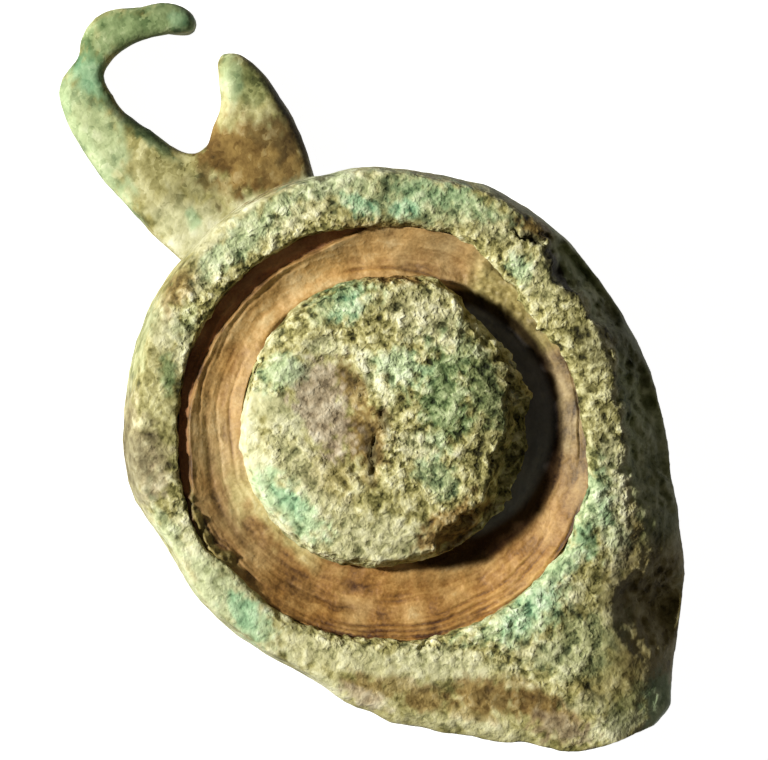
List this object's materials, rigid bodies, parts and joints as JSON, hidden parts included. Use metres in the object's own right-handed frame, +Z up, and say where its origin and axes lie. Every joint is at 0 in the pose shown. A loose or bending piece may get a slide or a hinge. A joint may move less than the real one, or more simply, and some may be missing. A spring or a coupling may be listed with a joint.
{
  "type": "button and loop fastener",
  "caption": "Flat teardrop button with a ring cell round a raised boss, on a shank whose flat bar ends in a loop broken open at its far side.",
  "frame": {"origin": "on the flat underside of the bar, below the centre of the ring cell", "axes": "+Z up out of the head's face, +Y from the head's tip to the loop, +X to the right seen from above with the loop away from the viewer"},
  "size_m": [0.0236, 0.0423, 0.012],
  "materials": {
    "corroded_bronze": "gritty green and khaki corrosion crust, browner where it has broken away",
    "decayed_enamel": "smooth, dull brown, with fine rings"
  },
  "bodies": {
    "root": {"cast_fastener": "corroded_bronze", "enamel_ring": "decayed_enamel"}
  },
  "joints": []
}
